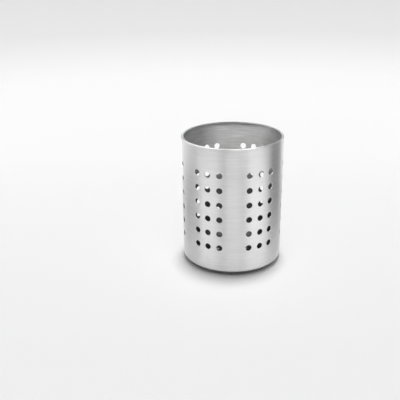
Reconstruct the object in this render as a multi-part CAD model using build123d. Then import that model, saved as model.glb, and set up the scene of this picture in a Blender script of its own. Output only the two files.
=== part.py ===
from build123d import *
import math
import os

# Utensil holder: a free-standing round cup of brushed stainless sheet with groups of
# round holes round its side and its top edge curled inwards.
# Millimetres and degrees. +Z is up, the origin is on the axis at the resting plane,
# and -Y is the front.

# Cup
outer_d = 100.0  # side wall, outside
height = 130.0  # resting plane to the top of the rim
sheet = 0.5  # thickness of the stainless sheet

# Rim, curled inwards from the side wall
rim_core_d = 1.4  # hollow inside the curl
curl_gap = 0.3  # left between the curl's free edge and the wall

# Base pan
corner_inner_r = 7.0  # inside radius where the bottom turns up into the side
rest_ring_w = 6.0  # flat ring that the holder stands on
floor_lift = 1.5  # underside of the floor above the resting plane
step_run = 4.0  # width of the slope from the ring up to the floor
step_inner_r = 2.5  # smaller radius at the slope's two bends
pan_edge_h = 10.0  # top of the pan's upright edge above the resting plane

# Welds
girth_weld_h = 1.0  # gap between the pan's edge and the side wall, filled by the weld
seam_weld_w = 1.2  # gap between the rolled sheet's two edges, filled by the weld
weld_crown = 0.15  # how far both welds stand up inside

# Holes in the side
hole_d = 6.0
columns = 3  # in each group
column_web = 5.9  # metal between two columns, along the outside
row_web = 8.7  # metal between two rows
top_land = 20.7  # plain metal between the rim bead and the top row
foot_land_min = 11.0  # least plain metal between the girth weld and the lowest row
group_gap_min = 20.0  # least plain metal between two groups, along the outside

# Drain holes in the floor
drain_d = 6.0
drain_pitch = 17.0  # from the middle hole to the ring of holes, and to any ring past it
drain_land_min = 6.0  # least plain floor outside the last ring
drain_ring_holes = 6  # in the first ring

cut_over = 1.0  # how far a hole's cutter runs on past both faces of flat sheet

# Worked out from the sizes above
outer_r = outer_d / 2
inner_r = outer_r - sheet
rim_r = rim_core_d / 2 + sheet
rim_centre_z = height - rim_r
curl_turn = 360 - math.degrees(math.acos((rim_core_d / 2 - curl_gap) / rim_r))
corner_r = corner_inner_r + sheet
step_r = step_inner_r + sheet
floor_r = outer_r - corner_r - rest_ring_w - step_run
wall_foot_z = pan_edge_h + girth_weld_h
seam_turn = math.degrees(seam_weld_w / outer_r)

row_pitch = hole_d + row_web
column_pitch = hole_d + column_web
top_row_z = height - 2 * rim_r - top_land - hole_d / 2
lowest_row_min_z = wall_foot_z + foot_land_min + hole_d / 2
rows = int((top_row_z - lowest_row_min_z) / row_pitch) + 1
group_w = hole_d + (columns - 1) * column_pitch
group_pairs = int(math.pi * outer_d / (2 * (group_w + group_gap_min)))
groups = 2 * group_pairs  # even, so that a plain gap faces the front and another the back
group_turn = 360 / groups
column_turn = math.degrees(column_pitch / outer_r)

# The front gap between groups faces -Y, and the seam lies in the gap at the back
front = -90.0
seam_direction = front + 180


def wall_face_line(inset):
    """One face of the side wall and its curl, as seen in section: inset is 0 or the sheet"""
    centre = (outer_r - rim_r, rim_centre_z)
    upright = Line((outer_r - inset, wall_foot_z), (outer_r - inset, rim_centre_z))
    return upright, CenterArc(centre, rim_r - inset, 0, curl_turn)


def wall_section():
    """The side wall with its curl, cut through the axis"""
    outside, outer_curl = wall_face_line(0)
    inside, inner_curl = wall_face_line(sheet)
    foot = Line(outside @ 0, inside @ 0)
    free_edge = Line(outer_curl @ 1, inner_curl @ 1)
    outline = Curve() + [outside, outer_curl, free_edge, inner_curl, inside, foot]
    return Plane.XZ * make_face(outline)


def pan_section():
    """The base pan, cut through the axis: the sheet lies inside this line of its outside"""
    outside = FilletPolyline(
        (0, floor_lift),
        (floor_r, floor_lift),
        (floor_r + step_run, 0),
        (outer_r, 0),
        (outer_r, pan_edge_h),
        radius=[step_r, step_r, corner_r],
    )
    return Plane.XZ * make_face(offset(outside, sheet, side=Side.LEFT))


def side_hole_cutters():
    """One radial cylinder for each hole in the side"""
    reach = sheet + 2 * cut_over + hole_d  # the curved sheet falls away from a wide hole
    drill = Cylinder(hole_d / 2, reach, rotation=(0, 90, 0))
    cutters = []
    for group in range(groups):
        group_direction = front + (group + 0.5) * group_turn
        for column in range(columns):
            direction = group_direction + (column - (columns - 1) / 2) * column_turn
            for row in range(rows):
                place = Pos(outer_r - sheet / 2, 0, top_row_z - row * row_pitch)
                cutters.append(Rot(0, 0, direction) * place * drill)
    return cutters


def drain_hole_cutters():
    """One upright cylinder for each drain hole: the middle one, then ring by ring"""
    drill = Cylinder(drain_d / 2, sheet + 2 * cut_over)
    drain_z = floor_lift + sheet / 2
    cutters = [Pos(0, 0, drain_z) * drill]
    rings = int((floor_r - drain_d / 2 - drain_land_min) / drain_pitch)
    for ring in range(1, rings + 1):
        count = drain_ring_holes * ring
        for hole in range(count):
            turn = Rot(0, 0, front + hole * 360 / count)
            cutters.append(turn * Pos(ring * drain_pitch, 0, drain_z) * drill)
    return cutters


def make_side_wall():
    """The punched sheet, rolled up to the seam and curled at its top"""
    rolled = revolve(wall_section(), Axis.Z, 360 - seam_turn)
    rolled = Rot(0, 0, seam_direction + seam_turn / 2) * rolled
    return rolled - side_hole_cutters()


def make_side_seam_weld():
    """Fills the gap between the rolled sheet's edges, flush outside, with a low crown inside"""
    crown_top = rim_centre_z - 2 * rim_r
    crown = make_face(Polyline(
        (inner_r, wall_foot_z),
        (inner_r, crown_top),
        (inner_r - weld_crown, crown_top - weld_crown),
        (inner_r - weld_crown, wall_foot_z),
        close=True,
    ))
    weld = revolve(wall_section() + Plane.XZ * crown, Axis.Z, seam_turn)
    return Rot(0, 0, seam_direction - seam_turn / 2) * weld


def make_base_pan():
    """The drawn bottom, with its resting ring, lifted floor and drain holes"""
    pan = revolve(pan_section(), Axis.Z)
    return pan - drain_hole_cutters()


def make_base_girth_weld():
    """Joins the pan's edge to the side wall, flush outside, with a low crown inside"""
    middle_z = (pan_edge_h + wall_foot_z) / 2
    outline = Curve() + [
        Polyline(
            (inner_r, pan_edge_h),
            (outer_r, pan_edge_h),
            (outer_r, wall_foot_z),
            (inner_r, wall_foot_z),
        ),
        ThreePointArc(
            (inner_r, wall_foot_z),
            (inner_r - weld_crown, middle_z),
            (inner_r, pan_edge_h),
        ),
    ]
    return revolve(Plane.XZ * make_face(outline), Axis.Z)


pieces = {
    "side_wall": make_side_wall(),
    "side_seam_weld": make_side_seam_weld(),
    "base_pan": make_base_pan(),
    "base_girth_weld": make_base_girth_weld(),
}

os.makedirs("parts", exist_ok=True)
for name, piece in pieces.items():
    piece.label = name
    export_step(piece, f"parts/{name}.step")
    print(name, "solids", len(piece.solids()), "volume", round(piece.volume, 1))

print("side holes", groups, "groups of", columns, "by", rows)
print("clear mouth", round(2 * (outer_r - 2 * rim_r), 2))
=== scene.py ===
# %% [markdown]
# # A perforated utensil holder
#
# The real holder is sheet metal from top to bottom: a flat strip of stainless steel is
# punched with groups of round holes, its top edge is curled, and the strip is rolled into
# a tube and welded. A drawn pan closes the bottom. This lesson makes the same pieces in the
# same order, because a shape that is made as the real one is made has its details in the
# right places without any extra work.

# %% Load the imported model
import math

import bpy
from mathutils import Matrix, Vector


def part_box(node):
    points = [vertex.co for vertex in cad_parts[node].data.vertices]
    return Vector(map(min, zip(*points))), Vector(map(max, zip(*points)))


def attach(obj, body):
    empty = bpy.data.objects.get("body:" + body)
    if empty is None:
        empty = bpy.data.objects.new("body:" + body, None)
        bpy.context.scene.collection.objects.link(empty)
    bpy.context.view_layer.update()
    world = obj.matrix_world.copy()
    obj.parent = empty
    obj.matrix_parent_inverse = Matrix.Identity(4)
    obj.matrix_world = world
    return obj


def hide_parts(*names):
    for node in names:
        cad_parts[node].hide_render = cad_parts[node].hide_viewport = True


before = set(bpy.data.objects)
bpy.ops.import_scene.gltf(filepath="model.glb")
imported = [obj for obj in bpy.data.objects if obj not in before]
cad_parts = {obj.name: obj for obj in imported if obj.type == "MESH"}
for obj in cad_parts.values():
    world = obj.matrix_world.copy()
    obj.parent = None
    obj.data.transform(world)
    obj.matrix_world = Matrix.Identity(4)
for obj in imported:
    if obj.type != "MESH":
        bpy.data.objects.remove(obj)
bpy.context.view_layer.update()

print("nodes", sorted(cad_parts))

# %% [markdown]
# ## Sizes
#
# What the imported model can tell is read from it: the outside radius, the top of the rim and
# the height where the side wall starts. The rest are the maker's own sizes, such as the
# thickness of the sheet and the size of the punch. Everything is in metres, so a millimetre
# has a name of its own.

# %% Sizes of the holder
MM = 0.001
wall_low, wall_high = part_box("side_wall")
_, pan_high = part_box("base_pan")

OUTER_R = pan_high.x
TOP = wall_high.z
WALL_FOOT = wall_low.z
PAN_EDGE = pan_high.z

SHEET = 0.5 * MM
RIM_R = 0.7 * MM + SHEET
CURL_GAP = 0.3 * MM

HOLE_R = 3.0 * MM
COLUMNS = 3
GROUPS = 6
ROWS = 6
COLUMN_PITCH = 11.9 * MM
ROW_PITCH = 14.7 * MM
TOP_LAND = 20.7 * MM

CORNER_R = 7.0 * MM + SHEET
REST_RING = 6.0 * MM
FLOOR_LIFT = 1.5 * MM
STEP_RUN = 4.0 * MM
STEP_R = 2.5 * MM + SHEET
DRAIN_R = 3.0 * MM
DRAIN_PITCH = 17.0 * MM
DRAIN_RING_HOLES = 6

SEAM_W = 1.2 * MM
WELD_CROWN = 0.15 * MM

curl_turn = 2 * math.pi - math.acos((RIM_R - SHEET - CURL_GAP) / RIM_R)
top_row = TOP - 2 * RIM_R - TOP_LAND - HOLE_R
print("outside radius", round(OUTER_R / MM, 2), "height", round(TOP / MM, 2))

# %% [markdown]
# ## Node sums written as Python sums
#
# Both materials and Geometry Nodes are graphs. Written node by node, a short formula fills a
# page, so one small class wraps a socket and overloads the plain operators: an expression
# such as x * x + y * y then adds its Math nodes by itself. Every other node comes from one
# method, which sets the node's own settings first, because they decide which sockets exist.

# %% A wire that can be added and multiplied
class Wire:
    """The output of a node. Sums on it add Math nodes to its graph."""

    def __init__(self, graph, socket):
        self.graph = graph
        self.socket = socket

    def out(self, name):
        """Another output of the same node"""
        return Wire(self.graph, self.socket.node.outputs[name])

    def __add__(self, other):
        return self.graph.math("ADD", self, other)

    def __radd__(self, other):
        return self.graph.math("ADD", other, self)

    def __sub__(self, other):
        return self.graph.math("SUBTRACT", self, other)

    def __rsub__(self, other):
        return self.graph.math("SUBTRACT", other, self)

    def __mul__(self, other):
        return self.graph.math("MULTIPLY", self, other)

    def __rmul__(self, other):
        return self.graph.math("MULTIPLY", other, self)

    def __truediv__(self, other):
        return self.graph.math("DIVIDE", self, other)

    def __rtruediv__(self, other):
        return self.graph.math("DIVIDE", other, self)

    def __pow__(self, other):
        return self.graph.math("POWER", self, other)

    def __neg__(self):
        return self.graph.math("MULTIPLY", self, -1.0)


# %% A graph that makes its nodes in one way
class Graph:
    """A node tree with one method for any node, and short names for the usual sums"""

    def __init__(self, tree):
        self.tree = tree
        tree.nodes.clear()

    def node(self, kind, settings=None, inputs=None, output=0):
        """Adds a node: its settings first, then its sockets by name, identifier or place"""
        made = self.tree.nodes.new(kind)
        for key, value in (settings or {}).items():
            if key == "items":
                for _ in range(value - len(made.index_switch_items)):
                    made.index_switch_items.new()
            else:
                setattr(made, key, value)
        for key, value in (inputs or {}).items():
            self.feed(self.find(made.inputs, key), value)
        return Wire(self, self.find(made.outputs, output)) if made.outputs else made

    def find(self, sockets, key):
        """The socket with this identifier, or else with this name or at this place"""
        for socket in sockets:
            if socket.identifier == key:
                return socket
        return sockets[key]

    def feed(self, socket, value):
        """Links a wire, or each wire of a list, to a socket, or else sets its value"""
        wires = value if isinstance(value, list) else [value]
        for wire in wires:
            if isinstance(wire, Wire):
                self.tree.links.new(wire.socket, socket)
            else:
                socket.default_value = wire

    def math(self, operation, *values):
        """One Math node"""
        return self.node("ShaderNodeMath", {"operation": operation}, dict(enumerate(values)))

    def limited(self, value):
        """A value kept between 0 and 1"""
        return self.math("MAXIMUM", self.math("MINIMUM", value, 1.0), 0.0)

    def split(self, vector):
        """The three parts of a vector"""
        parts = self.node("ShaderNodeSeparateXYZ", inputs={"Vector": vector})
        return parts, parts.out("Y"), parts.out("Z")

    def join(self, x=0.0, y=0.0, z=0.0):
        """A vector from its three parts"""
        return self.node("ShaderNodeCombineXYZ", inputs={"X": x, "Y": y, "Z": z})


# %% [markdown]
# ## Geometry Nodes as a workshop
#
# Each tree below is one operation of the workshop, such as punching a cell or rolling the
# sheet, and its sizes are named inputs. A tree that has done its work is turned into a plain
# mesh: the evaluated object is copied with new_from_object and the modifier is dropped, so
# that the piece keeps exactly what was seen.

# %% Make a tree with named inputs, and run one
def geometry_tree(name, sizes):
    """A new Geometry Nodes tree with a geometry input and these sizes, and its Graph"""
    tree = bpy.data.node_groups.new(name, "GeometryNodeTree")
    face = tree.interface
    face.new_socket("Geometry", in_out="INPUT", socket_type="NodeSocketGeometry")
    for size in sizes:
        kind = "NodeSocketInt" if isinstance(sizes[size], int) else "NodeSocketFloat"
        face.new_socket(size, in_out="INPUT", socket_type=kind).default_value = sizes[size]
    face.new_socket("Geometry", in_out="OUTPUT", socket_type="NodeSocketGeometry")
    graph = Graph(tree)
    entry = graph.node("NodeGroupInput")
    return graph, {size: entry.out(size) for size in ["Geometry", *sizes]}


def finish_tree(graph, geometry, material):
    """Ends a tree: real geometry, smooth faces and the material"""
    real = graph.node("GeometryNodeRealizeInstances", inputs={"Geometry": geometry})
    smooth = graph.node("GeometryNodeSetShadeSmooth", inputs={"Geometry": real})
    coated = graph.node("GeometryNodeSetMaterial", inputs={
        "Geometry": smooth, "Material": material,
    })
    graph.node("NodeGroupOutput", inputs={"Geometry": coated})


def run_tree(name, graph, sizes, crease=35.0):
    """A plain mesh object with what the tree makes at these sizes"""
    made = bpy.data.objects.new(name, bpy.data.meshes.new(name + "_blank"))
    bpy.context.scene.collection.objects.link(made)
    step = made.modifiers.new("workshop", "NODES")
    step.node_group = graph.tree
    for item in graph.tree.interface.items_tree:
        if item.in_out == "INPUT" and item.name in sizes:
            step[item.identifier] = sizes[item.name]
    workshop = bpy.context.evaluated_depsgraph_get()
    plain = bpy.data.meshes.new_from_object(
        made.evaluated_get(workshop), preserve_all_data_layers=True, depsgraph=workshop
    )
    made.modifiers.clear()
    made.data = plain
    plain.name = name
    plain.set_sharp_from_angle(angle=math.radians(crease))
    plain.calc_loop_triangles()
    print(name, "has", len(plain.loop_triangles), "triangles")
    return made


# %% [markdown]
# ## The punched sheet
#
# The wall starts as flat sheet, so the punching is done flat: one cell of sheet round one
# hole is made, repeated in rows and columns, and edged with plain strips. A Boolean modifier
# could cut the holes out of a finished tube, but it leaves long thin faces round each of
# them. A cell that is made as a grid keeps its faces even: one direction of the grid runs
# round the hole, and the other runs from the cell's straight border to the hole's edge.
#
# On the punch's side a real hole has no sharp edge, because the punch pulls the surface down
# before it cuts. That roll-over is stored on the points as a depth and is used once the sheet
# has its thickness.

# %% One cell of sheet with its hole
STEPS_PER_SIDE = 8
ROLL_OVER = 0.14 * MM
MERGE = 0.004 * MM


def pick(graph, index, values):
    """The value that an index points at"""
    settings = {"data_type": "FLOAT", "items": len(values)}
    numbered = {place + 1: value for place, value in enumerate(values)}
    return graph.node("GeometryNodeIndexSwitch", settings, {"Index": index, **numbered})


def zigzag(graph, s):
    """Goes along a square's border: 1 on one side, -1 on the opposite one, sloping between"""
    wrapped = graph.math("WRAP", s, 4.0, 0.0)
    slope = 2 * (graph.math("ABSOLUTE", wrapped - 2) - 1)
    return graph.math("MAXIMUM", graph.math("MINIMUM", slope, 1.0), -1.0)


def punched_cell(graph, width, height, hole_r):
    """A flat rectangle of sheet with one round hole, centred on the origin"""
    edge = hole_r + ROLL_OVER
    half = math.sqrt(0.5)
    # Each ring, from the border to the hole: share of the circle, its radius, its depth
    rings = [
        (0.0, edge, 0.0),
        (0.5, edge, 0.0),
        (1.0, edge + 3 * ROLL_OVER, 0.0),
        (1.0, edge, 0.0),
        (1.0, edge - half * ROLL_OVER, (1 - half) * ROLL_OVER),
        (1.0, hole_r, ROLL_OVER),
    ]
    around = 4 * STEPS_PER_SIDE
    grid = graph.node("GeometryNodeMeshGrid", inputs={
        "Size X": 1.0, "Size Y": 1.0, "Vertices X": around + 1, "Vertices Y": len(rings),
    })
    index = graph.node("GeometryNodeInputIndex")
    column = graph.math("FLOOR", (index + 0.5) / len(rings))
    ring = index - column * len(rings)
    s = column / STEPS_PER_SIDE
    turn = (s - 0.5) * (math.pi / 2)
    share = pick(graph, ring, [r[0] for r in rings])
    radius = pick(graph, ring, [r[1] for r in rings])
    depth = pick(graph, ring, [r[2] for r in rings])
    border_x = zigzag(graph, s - 0.5) * width / 2
    border_y = zigzag(graph, s - 1.5) * height / 2
    round_x = graph.math("COSINE", turn) * radius
    round_y = graph.math("SINE", turn) * radius
    place = graph.join(
        border_x + (round_x - border_x) * share,
        border_y + (round_y - border_y) * share,
    )
    marked = graph.node("GeometryNodeStoreNamedAttribute", {
        "data_type": "FLOAT", "domain": "POINT",
    }, {
        "Geometry": grid, "Name": "roll_over", "Value": depth,
    })
    return graph.node("GeometryNodeSetPosition", inputs={"Geometry": marked, "Position": place})


print("web between columns", round((COLUMN_PITCH - 2 * HOLE_R) / MM, 2))
print("web between rows", round((ROW_PITCH - 2 * HOLE_R) / MM, 2))

# %% [markdown]
# ## Laying out the flat blank
#
# A blank is divided into zones: across, each sector of the wall has plain sheet, the columns
# of holes and plain sheet again; upwards, it has the foot, the rows of holes, the plain band
# and the strip that will be curled. Zones side by side get the same number of steps along
# their shared border, so that their points meet and can be merged into one skin.

# %% Patches of plain sheet, and a field of holes
FOOT_STEPS = 5
BAND_STEPS = 10
CURL_STEPS = 22
GAP_STEPS = 6


def moved(graph, geometry, x, y, z=0.0):
    """Geometry, shifted"""
    return graph.node("GeometryNodeTransform", inputs={
        "Geometry": geometry, "Translation": graph.join(x, y, z),
    })


def plain_patch(graph, across, up):
    """Flat sheet between two pairs of limits, each given as low, high and steps"""
    low_x, high_x, steps_x = across
    low_y, high_y, steps_y = up
    grid = graph.node("GeometryNodeMeshGrid", inputs={
        "Size X": high_x - low_x, "Size Y": high_y - low_y,
        "Vertices X": steps_x + 1, "Vertices Y": steps_y + 1,
    })
    return moved(graph, grid, (low_x + high_x) / 2, (low_y + high_y) / 2)


def punched_field(graph, size, low_y):
    """The rows and columns of punched cells of one group, from this height upwards"""
    cell = punched_cell(graph, size["Column pitch"], size["Row pitch"], size["Hole radius"])
    centres = graph.node("GeometryNodeMeshGrid", inputs={
        "Size X": (size["Columns"] - 1) * size["Column pitch"],
        "Size Y": (size["Rows"] - 1) * size["Row pitch"],
        "Vertices X": size["Columns"], "Vertices Y": size["Rows"],
    })
    centres = moved(graph, centres, 0.0, low_y + size["Rows"] * size["Row pitch"] / 2)
    return graph.node("GeometryNodeInstanceOnPoints", inputs={"Points": centres, "Instance": cell})


# %% The whole sector
def flat_sector(graph, size):
    """One sector of the wall's blank: a group of holes with its plain surroundings"""
    field_low = size["Top row"] - (size["Rows"] - 0.5) * size["Row pitch"]
    field_high = size["Top row"] + size["Row pitch"] / 2
    straight = size["Height"] - size["Rim radius"]
    curl_end = straight + size["Rim radius"] * size["Curl turn"]
    group = size["Columns"] * size["Column pitch"] / 2
    sector = math.pi * size["Radius"] / size["Groups"]
    across = [
        (-sector, -group, GAP_STEPS),
        (-group, group, size["Columns"] * STEPS_PER_SIDE),
        (group, sector, GAP_STEPS),
    ]
    up = [
        (size["Foot"], field_low, FOOT_STEPS),
        (field_low, field_high, size["Rows"] * STEPS_PER_SIDE),
        (field_high, straight, BAND_STEPS),
        (straight, curl_end, CURL_STEPS),
    ]
    patches = [punched_field(graph, size, field_low)]
    for column, across_limits in enumerate(across):
        for row, up_limits in enumerate(up):
            if (column, row) != (1, 1):
                patches.append(plain_patch(graph, across_limits, up_limits))
    return graph.node("GeometryNodeJoinGeometry", inputs={"Geometry": patches})


print("holes in a sector", COLUMNS * ROWS, "and in the wall", GROUPS * COLUMNS * ROWS)

# %% [markdown]
# ## Thickness, curl and roll
#
# The flat blank gets its thickness by extrusion, which also makes the walls of the holes and
# the cut edges. Then every point is bent by one formula. Height along the sheet past the
# straight part becomes a turn round the rim's centre, which curls the edge inwards, and
# distance along the blank becomes an angle round the cup's axis, which rolls it. Bend
# modifiers could do the same in two passes, but with a formula both welds can later go
# through the same bend, so that they follow the wall exactly.

# %% Thicken and form flat sheet
def thickened(graph, flat, thickness):
    """Closed sheet under a flat skin, which stays on top, and the selection of that top"""
    low = moved(graph, flat, 0.0, 0.0, -thickness)
    under = graph.node("GeometryNodeFlipFaces", inputs={"Mesh": low})
    raised = graph.node("GeometryNodeExtrudeMesh", {"mode": "FACES"}, {
        "Mesh": low, "Offset": graph.join(0.0, 0.0, 1.0), "Offset Scale": thickness,
        "Individual": False,
    })
    sunk = graph.node("GeometryNodeInputNamedAttribute", {"data_type": "FLOAT"}, {
        "Name": "roll_over",
    }, output="Attribute")
    rounded = graph.node("GeometryNodeSetPosition", inputs={
        "Geometry": raised, "Selection": raised.out("Top"), "Offset": graph.join(0.0, 0.0, -sunk),
    })
    both = graph.node("GeometryNodeJoinGeometry", inputs={"Geometry": [rounded, under]})
    return graph.node("GeometryNodeMergeByDistance", inputs={"Geometry": both, "Distance": MERGE})


def curled_and_rolled(graph, flat, radius, height, rim_r):
    """Bends flat sheet: x is the distance round the cup, y the height and z is 0 outside"""
    x, y, z = graph.split(graph.node("GeometryNodeInputPosition"))
    straight = height - rim_r
    curl = graph.math("MAXIMUM", (y - straight) / rim_r, 0.0)
    reach = rim_r + z
    from_axis = radius - rim_r + reach * graph.math("COSINE", curl)
    up = graph.math("MINIMUM", y, straight) + reach * graph.math("SINE", curl)
    turn = x / radius
    place = graph.join(
        from_axis * graph.math("SINE", turn),
        -from_axis * graph.math("COSINE", turn),
        up,
    )
    return graph.node("GeometryNodeSetPosition", inputs={"Geometry": flat, "Position": place})


print("the curl turns through", round(math.degrees(curl_turn)), "degrees")

# %% [markdown]
# ## The side wall
#
# The real wall is one strip of sheet with six equal groups of holes. So only one sector is
# laid out, and it is set six times along a line as long as the cup's girth. At the two ends
# the blank is cut back by half the weld's width, and the formed tube meets the weld there.

# %% The tree of the side wall
WALL_SIZES = {
    "Radius": OUTER_R, "Height": TOP, "Foot": WALL_FOOT, "Sheet": SHEET,
    "Rim radius": RIM_R, "Curl turn": curl_turn, "Seam width": SEAM_W,
    "Hole radius": HOLE_R, "Column pitch": COLUMN_PITCH, "Row pitch": ROW_PITCH,
    "Top row": top_row, "Columns": COLUMNS, "Rows": ROWS, "Groups": GROUPS,
}


def side_wall_tree(material):
    """Punches, thickens, curls and rolls the side wall"""
    graph, size = geometry_tree("punch_and_roll", WALL_SIZES)
    sector_w = 2 * math.pi * size["Radius"] / size["Groups"]
    girth = 2 * math.pi * size["Radius"]
    places = graph.node("GeometryNodeMeshLine", inputs={
        "Count": size["Groups"],
        "Start Location": graph.join((sector_w - girth) / 2),
        "Offset": graph.join(sector_w),
    })
    sectors = graph.node("GeometryNodeInstanceOnPoints", inputs={
        "Points": places, "Instance": flat_sector(graph, size),
    })
    blank = graph.node("GeometryNodeRealizeInstances", inputs={"Geometry": sectors})
    blank = graph.node("GeometryNodeMergeByDistance", inputs={"Geometry": blank, "Distance": MERGE})
    x, y, z = graph.split(graph.node("GeometryNodeInputPosition"))
    end = (girth - size["Seam width"]) / 2
    cut = graph.math("MAXIMUM", graph.math("MINIMUM", x, end), -end)
    blank = graph.node("GeometryNodeSetPosition", inputs={
        "Geometry": blank, "Position": graph.join(cut, y, z),
    })
    solid = thickened(graph, blank, size["Sheet"])
    formed = curled_and_rolled(graph, solid, size["Radius"], size["Height"], size["Rim radius"])
    finish_tree(graph, formed, material)
    return graph


print("the blank is", round(2 * math.pi * OUTER_R / MM, 1), "long before it is rolled")

# %% [markdown]
# ## The welds
#
# The seam weld fills the gap between the rolled sheet's edges and the girth weld the gap
# above the base pan. Outside they were ground flush and brushed with the sheet. Inside, each
# still stands up as a low bead with the fine ripples of a weld that was laid drop by drop.
# Noise could roughen the bead, but the drops fall at an even pace, so a sine wave that runs
# along it makes the ripples.

# %% The tree of a weld bead
RIPPLE = 0.7 * MM
RIPPLE_DEPTH = 0.35
RIPPLE_BOW = 0.35
RIPPLE_STEPS = 4
BEAD_STEPS = 6


def weld_tree(name, upright, length, start, material):
    """A bead along the wall, upright or round the girth, with ripples on its inner face"""
    graph, size = geometry_tree(name, {
        "Radius": OUTER_R, "Height": TOP, "Rim radius": RIM_R, "Sheet": SHEET,
        "Width": SEAM_W, "Length": length, "Start": start, "Crown": WELD_CROWN,
        "Crown end": TOP - 3 * RIM_R,
    })
    ripples = round(length / RIPPLE)
    flat = graph.node("GeometryNodeMeshGrid", inputs={
        "Size X": size["Width"], "Size Y": size["Length"],
        "Vertices X": BEAD_STEPS + 1, "Vertices Y": RIPPLE_STEPS * ripples + 1,
    })
    flat = moved(graph, flat, 0.0, size["Start"] + size["Length"] / 2)
    solid = thickened(graph, flat, size["Sheet"])
    x, y, z = graph.split(graph.node("GeometryNodeInputPosition"))
    if not upright:
        # The two ends meet once the bead is bent round, so it has no end faces
        reach = size["Length"] / 2 - MERGE
        end_faces = graph.math("GREATER_THAN", graph.math("ABSOLUTE", y), reach)
        solid = graph.node("GeometryNodeDeleteGeometry", {"domain": "FACE"}, {
            "Geometry": solid, "Selection": end_faces,
        })
    side = 2 * x / size["Width"]
    bulge = 1 - side * side
    beat = y * ripples / size["Length"] + bulge * RIPPLE_BOW
    wave = graph.math("SINE", beat * (2 * math.pi))
    inner = graph.math("LESS_THAN", z, -size["Sheet"] / 2)
    if upright:
        inner = inner * graph.math("LESS_THAN", y, size["Crown end"])
    crown = inner * bulge * size["Crown"] * (1 - RIPPLE_DEPTH * (1 - wave) / 2)
    if upright:
        place = graph.join(x + math.pi * size["Radius"], y, z - crown)
    else:
        place = graph.join(-y, x + (PAN_EDGE + WALL_FOOT) / 2, z - crown)
    solid = graph.node("GeometryNodeSetPosition", inputs={"Geometry": solid, "Position": place})
    formed = curled_and_rolled(graph, solid, size["Radius"], size["Height"], size["Rim radius"])
    whole = graph.node("GeometryNodeMergeByDistance", inputs={
        "Geometry": formed, "Distance": MERGE,
    })
    finish_tree(graph, whole, material)
    return graph


print("the girth weld is laid at height", round((PAN_EDGE + WALL_FOOT) / 2 / MM, 2))

# %% [markdown]
# ## The base pan
#
# The pan is drawn from a flat round blank. Its drain holes are cut in the flat: circles
# inside a circle are filled as one face. Then the blank is drawn over its section, a line
# with rounded corners that runs from the axis along the underside and up to the pan's edge:
# a point's distance from the centre of the blank becomes its distance along that line. The
# section could also be spun round the axis, but then the holes would have to be cut out of a
# floor that has its shape already.

# %% Sizes and section of the base pan
PAN_AROUND = 180
PAN_RINGS = 56
DRAIN_STEPS = 40
FILLET_STEPS = 24
FLOOR_R = OUTER_R - CORNER_R - REST_RING - STEP_RUN
FLAT_R = FLOOR_R - 1.0 * MM
PAN_SIZES = {
    "Radius": OUTER_R, "Edge": PAN_EDGE, "Sheet": SHEET, "Corner": CORNER_R,
    "Floor radius": FLOOR_R, "Floor lift": FLOOR_LIFT, "Step run": STEP_RUN,
    "Step radius": STEP_R, "Drain radius": DRAIN_R, "Drain pitch": DRAIN_PITCH,
    "Drain holes": DRAIN_RING_HOLES, "Flat": FLAT_R,
}
print("the flat part of the floor has a radius of", round(FLAT_R / MM, 2))


def pan_section(graph, size):
    """The line of the pan's outside, from the axis to the top of its edge, in x and z"""
    corners = graph.node("GeometryNodeMeshLine", inputs={"Count": 5})
    index = graph.node("GeometryNodeInputIndex")
    step_end = size["Floor radius"] + size["Step run"]
    x = pick(graph, index, [0.0, size["Floor radius"], step_end, size["Radius"], size["Radius"]])
    z = pick(graph, index, [size["Floor lift"], size["Floor lift"], 0.0, 0.0, size["Edge"]])
    bend = pick(graph, index, [0.0, size["Step radius"], size["Step radius"], size["Corner"], 0.0])
    placed = graph.node("GeometryNodeSetPosition", inputs={
        "Geometry": corners, "Position": graph.join(x, 0.0, z),
    })
    line = graph.node("GeometryNodeMeshToCurve", inputs={"Mesh": placed})
    return graph.node("GeometryNodeFilletCurve", {"mode": "POLY"}, {
        "Curve": line, "Radius": bend, "Count": FILLET_STEPS, "Limit Radius": False,
    })


# %% The flat blank of the pan
def circle(graph, steps, radius):
    """A round curve"""
    return graph.node("GeometryNodeCurvePrimitiveCircle", {"mode": "RADIUS"}, {
        "Resolution": steps, "Radius": radius,
    })


def drained_disc(graph, size):
    """The flat floor with its middle hole and its ring of holes"""
    ring = circle(graph, size["Drain holes"], size["Drain pitch"])
    ring = graph.node("GeometryNodeTransform", inputs={
        "Geometry": ring, "Rotation": graph.join(0.0, 0.0, -math.pi / 2),
    })
    ring = graph.node("GeometryNodeCurveToPoints", {"mode": "EVALUATED"}, {"Curve": ring})
    middle = graph.node("GeometryNodePoints", inputs={"Count": 1})
    places = graph.node("GeometryNodeJoinGeometry", inputs={"Geometry": [ring, middle]})
    holes = graph.node("GeometryNodeInstanceOnPoints", inputs={
        "Points": places, "Instance": circle(graph, DRAIN_STEPS, size["Drain radius"]),
    })
    holes = graph.node("GeometryNodeRealizeInstances", inputs={"Geometry": holes})
    outline = circle(graph, PAN_AROUND, size["Flat"])
    curves = graph.node("GeometryNodeJoinGeometry", inputs={"Geometry": [outline, holes]})
    return graph.node("GeometryNodeFillCurve", {"mode": "TRIANGLES"}, {"Curve": curves})


def plain_ring(graph, low_r, high_r):
    """The rest of the flat blank, from the floor out to its edge"""
    grid = graph.node("GeometryNodeMeshGrid", inputs={
        "Size X": 1.0, "Size Y": 1.0, "Vertices X": PAN_RINGS + 1, "Vertices Y": PAN_AROUND + 1,
    })
    x, y, _ = graph.split(graph.node("GeometryNodeInputPosition"))
    radius = low_r + (high_r - low_r) * (x + 0.5)
    turn = y * (2 * math.pi)
    place = graph.join(radius * graph.math("COSINE", turn), radius * graph.math("SINE", turn))
    return graph.node("GeometryNodeSetPosition", inputs={"Geometry": grid, "Position": place})


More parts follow.
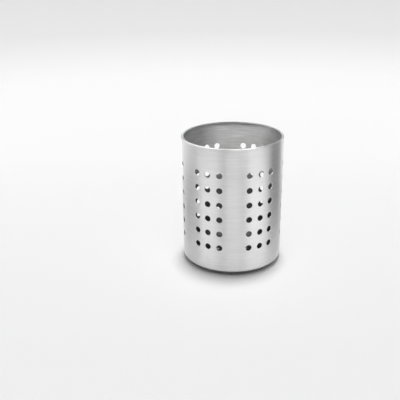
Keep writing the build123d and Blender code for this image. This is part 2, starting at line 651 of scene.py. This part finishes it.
# %% Draw the pan over its section
def base_pan_tree(material):
    """Cuts the blank, thickens it and draws it over the section"""
    graph, size = geometry_tree("draw_the_pan", PAN_SIZES)
    section = pan_section(graph, size)
    length = graph.node("GeometryNodeCurveLength", inputs={"Curve": section})
    blank = graph.node("GeometryNodeJoinGeometry", inputs={
        "Geometry": [drained_disc(graph, size), plain_ring(graph, size["Flat"], length)],
    })
    blank = graph.node("GeometryNodeMergeByDistance", inputs={"Geometry": blank, "Distance": MERGE})
    blank = moved(graph, blank, 0.0, 0.0, size["Sheet"])
    solid = thickened(graph, blank, size["Sheet"])
    x, y, z = graph.split(graph.node("GeometryNodeInputPosition"))
    from_centre = (x * x + y * y) ** 0.5
    sample = graph.node("GeometryNodeSampleCurve", {"mode": "LENGTH", "use_all_curves": True}, {
        "Curves": section, "Length": from_centre,
    }, output="Position")
    along_x, _, along_z = graph.split(sample.out("Tangent"))
    line_x, _, line_z = graph.split(sample)
    radius = line_x - along_z * z
    turn = graph.math("ARCTAN2", y, x)
    place = graph.join(
        radius * graph.math("COSINE", turn),
        radius * graph.math("SINE", turn),
        line_z + along_x * z,
    )
    drawn = graph.node("GeometryNodeSetPosition", inputs={"Geometry": solid, "Position": place})
    finish_tree(graph, drawn, material)
    return graph


print("drain holes", 1 + DRAIN_RING_HOLES)

# %% [markdown]
# ## Brushed steel
#
# A belt brushes the turning cup, so its fine lines run round it. A picture of brushed metal
# could be wrapped round the cup, but it would show its seam. So the lines are a noise that is
# stretched round the axis and squeezed across it. Height plus distance from the axis measures
# across the lines on the wall, round the bottom corner and on the floor alike.
#
# The lines are too fine to see one by one from a step away, and what shows is their effect on
# the reflections, which smear upwards and downwards. That is what Anisotropic does, turned
# by a quarter so that the smear is square to the lines.
#
# Inside, the brush was pushed in by hand, so its lines are coarser there. The inside is also
# darkened by painted shade, because the depth of a real cup sees little but its own dark
# walls: a light painted shade near the mouth fades into a deep painted shade half-way down.
# The material knows inside from outside by the distance from the axis, because half a sheet
# separates the two faces.

# %% The lines of the brush
FINE_LINES = {"round_scale": 60.0, "across_scale": 2600.0}
BROAD_LINES = {"round_scale": 45.0, "across_scale": 620.0}
FINE_SHARE = 0.45


def brush_lines(graph, x, y, across, round_scale, across_scale):
    """Noise from 0 to 1, in lines round the axis"""
    stretched = graph.join(x * round_scale, y * round_scale, across * across_scale)
    return graph.node("ShaderNodeTexNoise", inputs={
        "Vector": stretched, "Scale": 1.0, "Detail": 2.0, "Roughness": 0.6,
    })


# %% The material of the sheet
OUTSIDE_LINES = 0.35
INSIDE_LINES = 1.0
# Painted shade on the inner face: a little at the mouth, deep further down.
MOUTH_PAINTED_SHADE = 0.9
DEEP_PAINTED_SHADE = 0.2
DEEP_TOP = TOP - 74 * MM
DEEP_FADE = 30 * MM

PATCH_SCALE = 50.0
PATCH_DEPTH = 0.12
GLOSS_DEPTH = 0.12
LINE_DEPTH = 0.02 * MM
LINE_STRENGTH = 0.25


def brushed_steel(name, tone, roughness, smear):
    """Brushed stainless steel with its lines running round the upright axis"""
    material = bpy.data.materials.new(name)
    material.use_nodes = True
    graph = Graph(material.node_tree)
    place = graph.node("ShaderNodeTexCoord", output="Object")
    x, y, z = graph.split(place)
    across = z + (x * x + y * y) ** 0.5
    fine = brush_lines(graph, x, y, across, **FINE_LINES)
    broad = brush_lines(graph, x, y, across, **BROAD_LINES)
    patch = graph.node("ShaderNodeTexNoise", inputs={
        "Vector": place, "Scale": PATCH_SCALE, "Detail": 2.0,
    })
    lines = fine * FINE_SHARE + broad * (1 - FINE_SHARE)
    from_axis = (x * x + y * y) ** 0.5
    inner = graph.math("LESS_THAN", from_axis, OUTER_R - SHEET / 2)
    # Painted shade: the inner face darkens from the mouth downwards, as a deep cup sees its own
    # dark walls.
    near_mouth = graph.limited((z - DEEP_TOP) / DEEP_FADE)
    inside = DEEP_PAINTED_SHADE + (MOUTH_PAINTED_SHADE - DEEP_PAINTED_SHADE) * near_mouth
    contrast = OUTSIDE_LINES + (INSIDE_LINES - OUTSIDE_LINES) * inner
    level = 1 + (lines - 0.5) * contrast + (patch - 0.5) * PATCH_DEPTH
    level = level * (1 - inner * (1 - inside))
    colour = graph.node("ShaderNodeMix", {"data_type": "RGBA", "blend_type": "MULTIPLY"}, {
        "Factor_Float": 1.0, "A_Color": (*tone, 1), "B_Color": graph.join(level, level, level),
    }, output="Result_Color")
    bump = graph.node("ShaderNodeBump", inputs={
        "Strength": LINE_STRENGTH, "Distance": LINE_DEPTH, "Height": lines,
    })
    shader = graph.node("ShaderNodeBsdfPrincipled", inputs={
        "Base Color": colour, "Metallic": 1.0,
        "Roughness": roughness + (lines - 0.5) * GLOSS_DEPTH,
        "Anisotropic": smear, "Anisotropic Rotation": 0.25, "Normal": bump,
    })
    graph.node("ShaderNodeOutputMaterial", inputs={"Surface": shader})
    print(name, "has", len(graph.tree.nodes), "nodes")
    return material


sheet_steel = brushed_steel("brushed_sheet", tone=(0.73, 0.73, 0.728), roughness=0.46, smear=0.85)
weld_steel = brushed_steel("dressed_weld", tone=(0.72, 0.72, 0.718), roughness=0.44, smear=0.85)

# %% [markdown]
# ## Making the pieces
#
# Each piece replaces the imported solid of the same thing and rides on the holder's one body.

# %% Run the trees
side_wall = run_tree("punched_side_wall", side_wall_tree(sheet_steel), WALL_SIZES)
base_pan = run_tree("drawn_base_pan", base_pan_tree(sheet_steel), PAN_SIZES)
seam_length = (TOP - RIM_R + RIM_R * curl_turn) - WALL_FOOT
seam_weld = run_tree(
    "seam_weld_bead", weld_tree("lay_the_seam", True, seam_length, WALL_FOOT, weld_steel), {}
)
girth = 2 * math.pi * OUTER_R
girth_weld = run_tree(
    "girth_weld_bead", weld_tree("lay_the_girth", False, girth, -girth / 2, weld_steel), {}
)

for piece, node, slot in (
    (side_wall, "side_wall", "brushed_sheet"),
    (base_pan, "base_pan", "brushed_sheet"),
    (seam_weld, "side_seam_weld", "dressed_weld"),
    (girth_weld, "base_girth_weld", "dressed_weld"),
):
    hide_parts(node)
    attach(piece, "root")

# %% [markdown]
# ## The studio
#
# Brushed metal shows its surroundings, so the studio is part of the finish. A flat floor
# would end in a hard line, so the holder stands in a round cove: a pale floor that curves up
# into a low wall on all sides, which makes the background seamless from any side. The white
# paper is at its lightest behind the holder, where a photographer lights it most. Towards
# the camera and where it starts to rise it is darker by painted shade in the paper's own
# colour: the light on the holder stays as it is.

# %% The surface of the cove
FLOOR_RINGS = (0.02, 0.1, 0.3)
COVE_FLAT = 0.7
COVE_R = 1.0
COVE_TOP = 1.3
COVE_STEPS = 96
BEND_STEPS = 24


def cove_mesh():
    """The cove's surface as rings of points from the centre outwards and up"""
    profile = [(radius, 0.0) for radius in (*FLOOR_RINGS, COVE_FLAT)]
    for step in range(1, BEND_STEPS + 1):
        turn = step / BEND_STEPS * math.pi / 2
        profile.append((COVE_FLAT + COVE_R * math.sin(turn), COVE_R * (1 - math.cos(turn))))
    profile.append((COVE_FLAT + COVE_R, COVE_TOP))
    points = [(0.0, 0.0, 0.0)]
    faces = []
    for radius, z in profile:
        for step in range(COVE_STEPS):
            turn = 2 * math.pi * step / COVE_STEPS
            points.append((radius * math.cos(turn), radius * math.sin(turn), z))
    for step in range(COVE_STEPS):
        after = (step + 1) % COVE_STEPS
        faces.append((0, 1 + step, 1 + after))
        for ring in range(len(profile) - 1):
            low = 1 + ring * COVE_STEPS
            high = low + COVE_STEPS
            faces.append((low + step, high + step, high + after, low + after))
    mesh = bpy.data.meshes.new("cove")
    mesh.from_pydata(points, [], faces)
    mesh.polygons.foreach_set("use_smooth", [True] * len(faces))
    return mesh


# %% The paper of the cove
PAPER = 0.97
# Painted shade in the paper's own colour, towards the front and up the rise.
FRONT_PAINTED_SHADE = 0.09
FRONT_START = 0.33
FRONT_RUN = 0.5
RISE_PAINTED_SHADE = 0.125
RISE_START = 0.03
RISE_RUN = 0.08


def cove_paper():
    """Matt white paper with painted shade towards the front and up its rise"""
    material = bpy.data.materials.new("cove_paper")
    material.use_nodes = True
    graph = Graph(material.node_tree)
    x, y, z = graph.split(graph.node("ShaderNodeTexCoord", output="Object"))
    near = graph.limited((FRONT_START - y) / FRONT_RUN)
    high = graph.limited((z - RISE_START) / RISE_RUN)
    # The paper's tone carries painted shade towards the front and with height.
    tone = PAPER * (1 - FRONT_PAINTED_SHADE * near) * (1 - RISE_PAINTED_SHADE * high)
    shader = graph.node("ShaderNodeBsdfPrincipled", inputs={
        "Base Color": graph.join(tone, tone, tone), "Roughness": 0.9, "Specular IOR Level": 0.0,
    })
    graph.node("ShaderNodeOutputMaterial", inputs={"Surface": shader})
    return material


cove = bpy.data.objects.new("cove", cove_mesh())
cove.data.materials.append(cove_paper())
bpy.context.scene.collection.objects.link(cove)
print("the cove is", 2 * (COVE_FLAT + COVE_R), "across and", COVE_TOP, "high")

# %% [markdown]
# ## What the metal sees
#
# A brushed metal wall shows its surroundings as upright bands. A photographer who shoots
# metal therefore builds a tent of pale cloth round it, and sets black and grey cards in the
# tent where the metal needs a dark edge. The bands on this holder come from such a tent:
#
# - The skirt and the wall of pale cloth give the metal its middle tone.
# - A softbox overhead, weaker at the back, lights the front lip and the upper wall.
# - A shade in front, half-way up, keeps the middle of the wall from turning flat white.
# - A low softbox on each side of the front makes the two bright bands of the wall.
# - The stands of the lamp and the camera are the two thin grey bands between them.
# - A black card at the right and grey cards at the left draw the dark edges of the cylinder.
# - A light card behind the mouth brightens both ends of the rim. Two more, lower and to the
#   sides, let the wall's edges fade, and a dark one at the floor firms up the foot.
#
# The rim is a narrow round bead, and a bead shows the whole softbox overhead as one hard white
# line. Two small helpers close to it, as a photographer of jewellery would set them, change
# that line alone. A flag over the back of the mouth keeps the back of the rim dark, and a
# strip of gauze over the front lip keeps its line from turning flat white.
#
# Directions are in degrees round the holder: 0 is the front and 90 the right. The tent is
# seen in reflections only: the camera, the floor and the shadows pass through it. The wall
# reflects twice as wide an angle as it turns through, so a card of 40 degrees makes a band
# of 20 degrees on the wall.

# %% Heights and places of the cards
TENT_R = 0.15
LOW = (0.0005, 0.12)
MIDDLE = (0.12, 0.27)
HIGH = (0.27, 0.6)
FULL = (LOW[0], MIDDLE[1])
FOOT = (LOW[0], 0.04)
ABOVE_FOOT = (FOOT[1], LOW[1])
WAIST = (0.08, LOW[1])
CARD_STEP = 3
LAYER = 0.001

FLAG_R = OUTER_R - 4.0 * MM
OVER_MOUTH = (TOP + 0.3 * MM, TOP + 7.0 * MM)
GAUZE_R = OUTER_R + 1.5 * MM
OVER_LIP = (TOP + 1.3 * MM, TOP + 10.0 * MM)
print("the flag hangs", round((OUTER_R - FLAG_R) / MM, 1), "inside the rim")


# %% One card
def card(name, start, end, heights, tone, layer=0, radius=TENT_R):
    """Part of a round wall that only reflections see, between two directions in degrees"""
    radius = radius - layer * LAYER
    count = max(2, round((end - start) / CARD_STEP))
    points, faces = [], []
    for step in range(count + 1):
        turn = math.radians(start + (end - start) * step / count)
        for z in heights:
            points.append((radius * math.sin(turn), -radius * math.cos(turn), z))
        if step:
            at = 2 * step
            faces.append((at - 2, at - 1, at + 1, at))
    mesh = bpy.data.meshes.new(name)
    mesh.from_pydata(points, [], faces)
    made = bpy.data.objects.new(name, mesh)
    bpy.context.scene.collection.objects.link(made)
    material = bpy.data.materials.new(name)
    material.use_nodes = True
    graph = Graph(material.node_tree)
    glow = graph.node("ShaderNodeEmission", inputs={"Color": (1, 1, 1, 1), "Strength": tone})
    graph.node("ShaderNodeOutputMaterial", inputs={"Surface": glow})
    material.cycles.emission_sampling = "NONE"
    mesh.materials.append(material)
    made.visible_camera = False
    made.visible_diffuse = False
    made.visible_shadow = False
    print(name, "spans", end - start, "degrees")


# %% Tent and cards
card("tent_skirt", -180, 180, LOW, 1.0)
card("tent_wall", -180, 180, MIDDLE, 1.5)
card("overhead_softbox", -115, 65, HIGH, 5.7)
card("back_softbox", 65, 245, HIGH, 1.2)
card("front_shade", -64, 72, MIDDLE, 0.4, layer=1)
card("left_shade", -90, -64, MIDDLE, 0.95, layer=1)
card("back_shade", 125, 235, MIDDLE, 0.3, layer=1)
card("back_card", 150, 210, MIDDLE, 1.4, layer=2)
card("right_back_card", 114, 165, WAIST, 1.4, layer=1)
card("left_back_card", 205, 225, ABOVE_FOOT, 2.1, layer=2)
card("back_foot_card", 120, 240, FOOT, 0.55, layer=1)
card("left_grey_card", -112, -72, LOW, 0.6, layer=1)
card("left_foot_card", -112, -64, FOOT, 0.25, layer=2)
card("left_softbox", -65, -33, LOW, 1.22, layer=1)
card("right_softbox", 27, 62, LOW, 1.47, layer=1)
card("lamp_stand", -24, -14, FULL, 0.5, layer=2)
card("camera_stand", 13, 24, FULL, 0.7, layer=2)
card("black_card", 74, 114, FULL, 0.32, layer=2)
card("mouth_flag", 100, 260, OVER_MOUTH, 0.15, radius=FLAG_R)
card("lip_gauze", -65, -5, OVER_LIP, 2.0, radius=GAUZE_R)

# %% [markdown]
# ## Light on the floor
#
# The tent lights only the metal, so the floor needs lamps of its own. A lamp almost overhead
# and slightly behind keeps the shadow close round the foot, with its longest part towards the
# camera, as on a product table. A broader lamp from the front and an even world light fill the
# shadow. Metal doesn't see any of them, because the tent is there for that.

# %% Lamps and world
FILL = 0.28


def sun(name, side, height, angle, strength):
    """A large soft lamp far away: side is its direction round the holder, 0 is the front"""
    lamp = bpy.data.lights.new(name, "SUN")
    lamp.energy = strength
    lamp.angle = math.radians(angle)
    made = bpy.data.objects.new(name, lamp)
    turn, rise = math.radians(side), math.radians(height)
    towards = Vector((
        math.sin(turn) * math.cos(rise), -math.cos(turn) * math.cos(rise), math.sin(rise),
    ))
    made.rotation_euler = towards.to_track_quat("Z", "Y").to_euler()
    made.visible_glossy = False
    bpy.context.scene.collection.objects.link(made)
    return made


sun("overhead_lamp", side=165, height=84, angle=10, strength=1.56)
sun("front_lamp", side=5, height=68, angle=40, strength=0.42)

world = bpy.data.worlds.new("studio")
bpy.context.scene.world = world
world.use_nodes = True
sky = Graph(world.node_tree)
rays = sky.node("ShaderNodeLightPath", output="Is Glossy Ray")
glow = sky.node("ShaderNodeBackground", inputs={
    "Color": (1, 1, 1, 1), "Strength": FILL * (1 - rays),
})
sky.node("ShaderNodeOutputWorld", inputs={"Surface": glow})
print("lamps", [lamp.name for lamp in bpy.data.lights])

# %% [markdown]
# ## The camera
#
# The camera's place and lens were worked out from the rim, the holes and the sides of the
# real holder in the picture. The picture is square, so its size in pixels and the lens on a
# 36 mm sensor are tied by one formula.

# %% Camera
PICTURE = 400
FOCAL_PIXELS = 572.4
CAMERA_AWAY = 540.85 * MM
CAMERA_UP = 282.3 * MM
CAMERA_SIDE = math.radians(-2.814)
PAN = math.radians(3.44)
TILT = math.radians(22.259)
ROLL = math.radians(-0.876)

lens = bpy.data.cameras.new("camera")
lens.sensor_width = 36.0
lens.lens = FOCAL_PIXELS / PICTURE * lens.sensor_width
camera = bpy.data.objects.new("camera", lens)
camera.location = (
    CAMERA_AWAY * math.sin(CAMERA_SIDE), -CAMERA_AWAY * math.cos(CAMERA_SIDE), CAMERA_UP,
)
aim = (
    Matrix.Rotation(CAMERA_SIDE + PAN, 4, "Z")
    @ Matrix.Rotation(math.pi / 2 - TILT, 4, "X")
    @ Matrix.Rotation(ROLL, 4, "Z")
)
camera.rotation_euler = aim.to_euler()
bpy.context.scene.collection.objects.link(camera)
bpy.context.scene.camera = camera

view = bpy.context.scene.view_settings
view.view_transform = "Standard"
print("focal length", round(lens.lens, 1), "mm")
